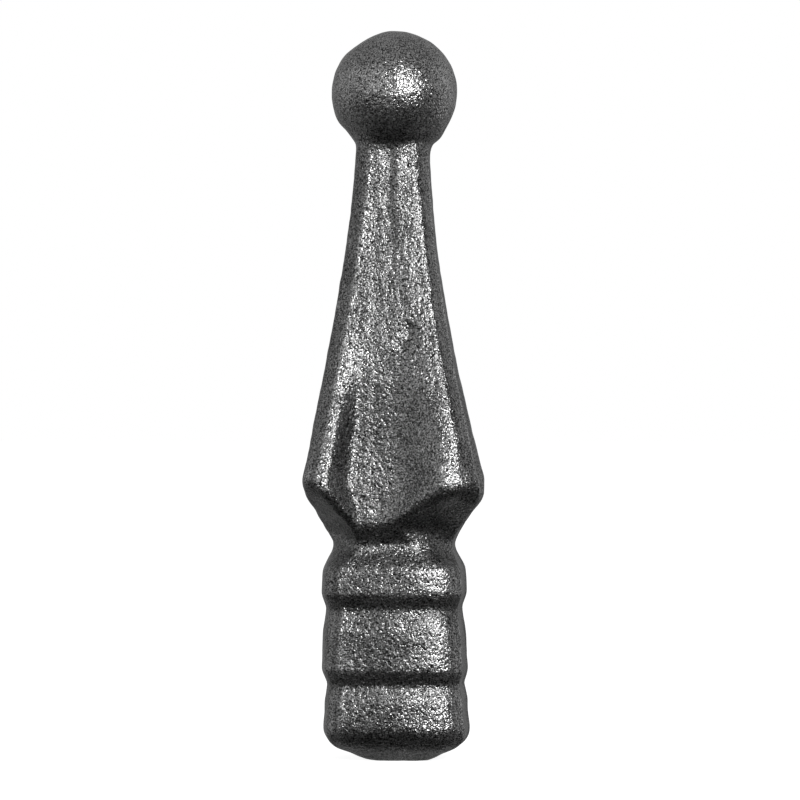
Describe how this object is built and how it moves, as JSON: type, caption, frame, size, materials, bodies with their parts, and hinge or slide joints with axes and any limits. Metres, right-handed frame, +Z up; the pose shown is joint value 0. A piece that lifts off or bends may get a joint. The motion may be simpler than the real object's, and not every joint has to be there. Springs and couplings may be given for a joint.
{
  "type": "fence spear point",
  "caption": "Ball-tipped spear point for a fence picket: a hollow-faced square shaft that flares to a shoulder, over a short neck and a banded square foot that is welded to the picket's end.",
  "frame": {"origin": "middle of the flat under the foot, where the point meets the picket's end", "axes": "+Z runs up the point's axis to its ball; the four faces look along -Y, +X, +Y and -X"},
  "size_m": [0.0302, 0.0302, 0.125],
  "materials": {
    "iron": "raw, dark grey and grainy, with a dull metallic shine on its edges"
  },
  "bodies": {
    "root": {"spear_point": "iron"}
  },
  "joints": []
}
